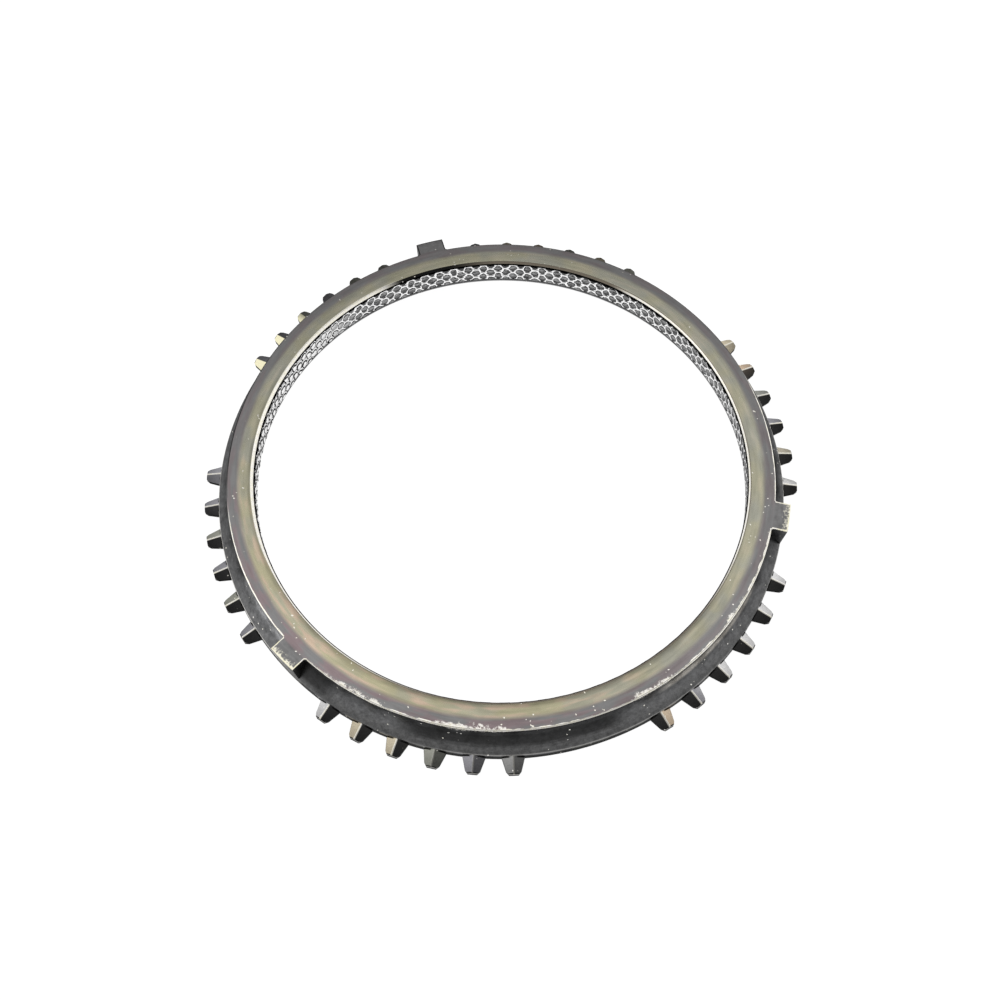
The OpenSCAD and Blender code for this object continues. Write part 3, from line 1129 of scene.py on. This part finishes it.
@dataclass(frozen=True)
class LiningFinish:
    """Woven carbon fibre: grey striated crowns between pale crossing tows, with painted shade in the creases
    round the crowns, on their lower parts and below them, on the right and along the strip's edges, and a
    painted sheen on the left.
    """

    dark: Colour = (0.012, 0.012, 0.014)
    crown_shade: Colour = (0.055, 0.055, 0.058)
    fibre: Colour = (0.60, 0.605, 0.61)
    pale: Colour = (0.97, 0.97, 0.97)
    # Black of the strip's top face, also painted as shade under its upper edge on the right and along its
    # foot
    cut: Colour = (0.006, 0.006, 0.007)
    edge_tint: Colour = (0.8, 0.8, 0.8)
    # The painted shadow below each crown, a dark bar, in millimetres: half its length, half its height and
    # its distance
    shadow_length: float = 0.62
    shadow_height: float = 0.2
    shadow_gap: float = 0.26
    relief: float = 0.3
    relief_depth: float = 0.05 * MM

    def material(self, weave: "FrictionLining") -> bpy.types.Material:
        """Builds the finish.

        Args:
            weave: the lining whose crowns it follows.

        Returns:
            The material of the lining.
        """
        material, sh = new_material("woven_lining")
        at = RingPlace(sh)
        around = sh.math("ARCTAN2", at.y, at.x) / TURN * weave.crowns
        wobble = sh.noise(at.mm, 0.8, 2.0) - 0.5
        ovals, shadows_below, heights = [], [], []
        for lattice in (0, 1):
            p = ((around - weave.shift - lattice / 2 + wobble * 0.4).fraction() - 0.5) * weave.crown_pitch
            up = (at.z - weave.middle + (1 - lattice) * weave.row_pitch) / (2 * weave.row_pitch)
            q = ((up + 0.5 + wobble * 0.12).fraction() - 0.5) * (2 * weave.row_pitch)
            oval = (p / weave.half_length) ** 2 + (q / weave.half_height) ** 2
            below = (q + weave.half_height + self.shadow_gap) / self.shadow_height
            ovals.append(oval)
            shadows_below.append((p / self.shadow_length) ** 2 + below ** 2)
            heights.append(oval.rise(1.05, 1.0) * q)
        flecks = sh.noise(at.mm, 2.8, 3.0, 0.6)
        strands = sh.noise(sh.vector(around * 1.6 + at.z * 0.6, at.z * 3.0, 0.0), 1.0, 3.0, 0.65)
        # Painted shade on each crown: darker towards its lower part, and a painted shadow below it
        shade = ((heights[0] + heights[1]).rise(-0.6, 0.5) * 0.8 + 0.2) * strands.rise(0.34, 0.58)
        # Painted shade: crowns darker on the right, just in front
        low_right_shade = at.east.rise(0.8, 0.95) * at.north.rise(-0.08, -0.25)
        fibre = sh.mix(shade * (1.0 - low_right_shade * 0.8), self.crown_shade, self.fibre)
        # Painted sheen on the left: parts of the crowns pale, their creases wider
        left_sheen = at.east.rise(-0.35, -0.7)
        field = ovals[0].least(ovals[1]).least(shadows_below[0].least(shadows_below[1]))
        field = field + (flecks - 0.5) * (0.7 - left_sheen * 0.3)
        # Painted shade: no pale tows high on the right-front
        right_shade = at.east.rise(0.5, 0.8) * at.north.rise(-0.36, -0.5)
        right_shade = right_shade * at.z.rise(weave.top - 2.4, weave.top - 1.2)
        # Painted shade in the crease round each crown, wider on the left
        crease_shade = abs(field - 1.0).rise(left_sheen * 0.23 + 0.22, left_sheen * 0.23 + 0.08)
        tow = field.rise(1.08, 1.2).most(left_sheen * strands.rise(0.22, 0.42))
        tow = tow * (1.0 - crease_shade) * (1.0 - right_shade)
        colour = sh.mix(tow, sh.mix(crease_shade, fibre, self.dark), self.pale)
        # The strip's top face black, and painted shade in a ragged band under its upper edge on the right
        # and in a line along its foot
        wall_side = at.radius.rise(weave.radius_at(weave.top, 0.18), weave.radius_at(weave.top, 0.26))
        edge = at.z.rise(weave.top - 0.02, weave.top - 0.005) * wall_side.most(at.north.rise(-0.95, -0.75))
        ragged = at.z + (flecks - 0.5) * 1.6
        edge = edge.most(ragged.rise(weave.top - 0.5, weave.top - 0.3) * at.east.rise(0.2, 0.7))
        edge = edge.most(at.z.rise(weave.foot + 0.16, weave.foot + 0.06))
        colour = sh.mix(edge, colour, self.cut)
        relief = {"Strength": self.relief, "Distance": self.relief_depth, "Height": strands}
        sh.metal(colour, 0.9 - tow * 0.7, self.edge_tint, relief)
        return material


@dataclass(frozen=True)
class FrictionLining:
    """The woven strip in the tapered bore."""

    ring: RingSizes = SIZES
    finish: LiningFinish = LiningFinish()
    thickness: float = 0.6
    rows: int = 3
    row_margin: float = 0.75
    crowns: int = 93
    depth: float = 0.2
    crown_length: float = 1.6
    half_length: float = 0.88
    half_height: float = 1.12
    around_steps: int = 16
    up_steps: int = 36
    sharp: float = math.radians(60)

    @property
    def top(self) -> float:
        """Height of the upper edge."""
        return self.ring.lining_top

    @property
    def foot(self) -> float:
        """Height of the lower edge."""
        return self.ring.lining_foot

    @property
    def middle(self) -> float:
        """Height of the middle row of crowns."""
        return (self.foot + self.top) / 2

    @property
    def row_pitch(self) -> float:
        """Distance from one row of crowns to the next."""
        return self.ring.lining_height / (self.rows + self.row_margin)

    @property
    def crown_pitch(self) -> float:
        """Distance from one crown of a row to the next."""
        return TURN * self.ring.bore_r / self.crowns

    @property
    def shift(self) -> float:
        """Where the first crown starts, as a share of the pitch, so that its middle lies half a pitch on."""
        return self.crown_length / 2 / self.crown_pitch - 0.5

    def radius_at(self, z: float, depth: float) -> float:
        """Radius at height z, at a depth below the face of the crowns."""
        above_seat = self.ring.bond_film + self.thickness - depth
        return self.ring.seat_at(z) - above_seat / math.cos(self.ring.cone)

    def crown_field(self, angle: float, z: float) -> float:
        """How far a place lies from the middle of its crown: 0 there, 1 at the crown's foot.

        Args:
            angle: place around the axis.
            z: height.

        Returns:
            The squared distance, in crown sizes.
        """
        around = angle / TURN * self.crowns
        nearest = math.inf
        for lattice in (0, 1):
            p = ((around - self.shift - lattice / 2) % 1.0 - 0.5) * self.crown_pitch
            up = (z - self.middle + (1 - lattice) * self.row_pitch) / (2 * self.row_pitch)
            q = ((up + 0.5) % 1.0 - 0.5) * 2 * self.row_pitch
            nearest = min(nearest, (p / self.half_length) ** 2 + (q / self.half_height) ** 2)
        return nearest

    def build(self) -> bpy.types.Object:
        """Turns the strip round the axis and raises its crowns.

        Returns:
            The lining.
        """
        mesh = bmesh.new()
        corners = [
            (self.radius_at(self.foot, self.depth), self.foot),
            (self.radius_at(self.foot, self.thickness), self.foot),
            (self.radius_at(self.top, self.thickness), self.top),
            (self.radius_at(self.top, self.depth), self.top),
        ]
        loop = [mesh.verts.new((r, 0, z)) for r, z in corners]
        edges = [mesh.edges.new((loop[i], loop[(i + 1) % 4])) for i in range(4)]
        bmesh.ops.subdivide_edges(mesh, edges=[edges[3]], cuts=self.up_steps - 1)
        turn_round(mesh, self.crowns * self.around_steps)
        for vert in mesh.verts:
            self._raise_crown(vert)
        bmesh.ops.scale(mesh, vec=(MM, MM, MM), verts=mesh.verts)
        piece = to_object(mesh, "woven_strip")
        piece.data.shade_smooth()
        piece.data.set_sharp_from_angle(angle=self.sharp)
        seat_piece(piece, "friction_lining", self.finish.material(self))
        return piece

    def _raise_crown(self, vert: bmesh.types.BMVert) -> None:
        """Moves a vertex of the strip's inner face up to the face of its crown."""
        radius, z = vert.co.xy.length, vert.co.z
        if abs(radius - self.radius_at(z, self.depth)) > LINE_GAP:
            return
        field = self.crown_field(math.atan2(vert.co.y, vert.co.x), z)
        rise = self.depth * math.sqrt(max(0.0, 1.0 - min(field, 1.0)))
        vert.co.xy *= (radius - rise / math.cos(self.ring.cone)) / radius


@dataclass(frozen=True)
class Studio:
    """The pale floor, the light around the object and the camera."""

    floor_size: float = 1.5
    floor_drop: float = 0.02 * MM
    floor_colour: Colour = (0.9, 0.9, 0.9)
    shadow_colour: Colour = (0.16, 0.16, 0.16)
    floor_glow: float = 0.96
    camera_place: Point = (-0.026452, -0.092988, 0.186433)
    camera_turn: Point = (25.9058, 0.2831, -16.3014)
    lens: float = 33.935
    sensor: float = 36.0
    near: float = 0.01
    white: Colour = (1.0, 1.0, 1.0)
    daylight: Colour = (1.0, 0.99, 0.97)
    # Light from above: in front, overhead, its fading behind and to the right, and a little all over
    front_light: float = 0.42
    panel_light: float = 1.05
    fade_behind: float = 0.72
    fade_right: float = 0.12
    rest_light: float = 0.08
    # Light along the horizon: at the front, and what is added behind
    horizon_light: float = 1.15
    horizon_behind: float = 0.35
    # Directions over which these lights set in: towards the back, and upwards
    panel_from: Span = (-0.15, 0.08)
    behind_from: Span = (0.34, 0.62)
    horizon_from: Span = (-0.45, 0.1)
    above_from: Span = (0.22, 0.42)

    def build(self) -> None:
        """Makes floor, light and camera."""
        self._floor()
        self._world()
        self._camera()
        bpy.context.scene.view_settings.view_transform = "Standard"

    def _seen(self, sh: Shader) -> Value:
        """1 for rays from the camera, mirrors and glass."""
        path = sh.node("ShaderNodeLightPath")
        seen = Value(sh, path.outputs["Is Camera Ray"])
        for name in ("Is Glossy Ray", "Is Transmission Ray"):
            seen = seen.most(Value(sh, path.outputs[name]))
        return seen

    def _floor(self) -> None:
        """A wide pale floor that keeps a faint shadow."""
        mesh = bmesh.new()
        bmesh.ops.create_grid(mesh, x_segments=1, y_segments=1, size=self.floor_size)
        bmesh.ops.translate(mesh, vec=(0, 0, -self.floor_drop), verts=mesh.verts)
        floor = to_object(mesh, "floor")
        material, sh = new_material("pale_floor")
        plain = sh.node("ShaderNodeBsdfDiffuse", None, {"Color": self.floor_colour})
        soft = sh.node("ShaderNodeBsdfDiffuse", None, {"Color": self.shadow_colour})
        glow = sh.node("ShaderNodeEmission", None, {"Color": self.white, "Strength": self.floor_glow})
        white = sh.node("ShaderNodeAddShader", None, {0: soft.outputs[0], 1: glow.outputs[0]})
        pair = {0: self._seen(sh), 1: plain.outputs[0], 2: white.outputs[0]}
        surface = sh.node("ShaderNodeMixShader", None, pair)
        sh.node("ShaderNodeOutputMaterial", None, {"Surface": surface.outputs[0]})
        floor.data.materials.append(material)

    def _world(self) -> None:
        """Soft light: a broad panel overhead, a bright horizon all round, and a dimmer front."""
        world = bpy.data.worlds.new("studio")
        bpy.context.scene.world = world
        world.use_nodes = True
        sh = Shader(world.node_tree)
        x, y, z = sh.axes(sh.node("ShaderNodeTexCoord").outputs["Generated"])
        panel = self.panel_light - y.rise(*self.behind_from) * self.fade_behind
        panel = panel * (1.0 - x * self.fade_right) + (self.rest_light - self.front_light)
        panel = panel * y.rise(*self.panel_from) + self.front_light
        horizon = y.rise(*self.horizon_from) * self.horizon_behind + self.horizon_light
        high = z.rise(*self.above_from)
        light = panel * high + horizon * (1.0 - high)
        camera = Value(sh, sh.node("ShaderNodeLightPath").outputs["Is Camera Ray"])
        glow = sh.node("ShaderNodeBackground", None, {"Color": self.daylight, "Strength": light})
        plain = sh.node("ShaderNodeBackground", None, {"Color": self.white, "Strength": 1.0})
        sky = sh.node("ShaderNodeMixShader", None, {0: camera, 1: glow.outputs[0], 2: plain.outputs[0]})
        sh.node("ShaderNodeOutputWorld", None, {"Surface": sky.outputs[0]})

    def _camera(self) -> None:
        """The camera at the photograph's place."""
        data = bpy.data.cameras.new("camera")
        data.lens = self.lens
        data.sensor_width = self.sensor
        data.clip_start = self.near
        camera = bpy.data.objects.new("camera", data)
        camera.location = self.camera_place
        camera.rotation_euler = Euler([math.radians(turn) for turn in self.camera_turn])
        bpy.context.scene.collection.objects.link(camera)
        bpy.context.scene.camera = camera


def main() -> None:
    """Builds the studio, the ring body and the lining."""
    logging.basicConfig(level=logging.INFO, format="%(name)s: %(message)s")
    Studio().build()
    RingBody().build()
    FrictionLining().build()


if __name__ == "__main__":
    main()
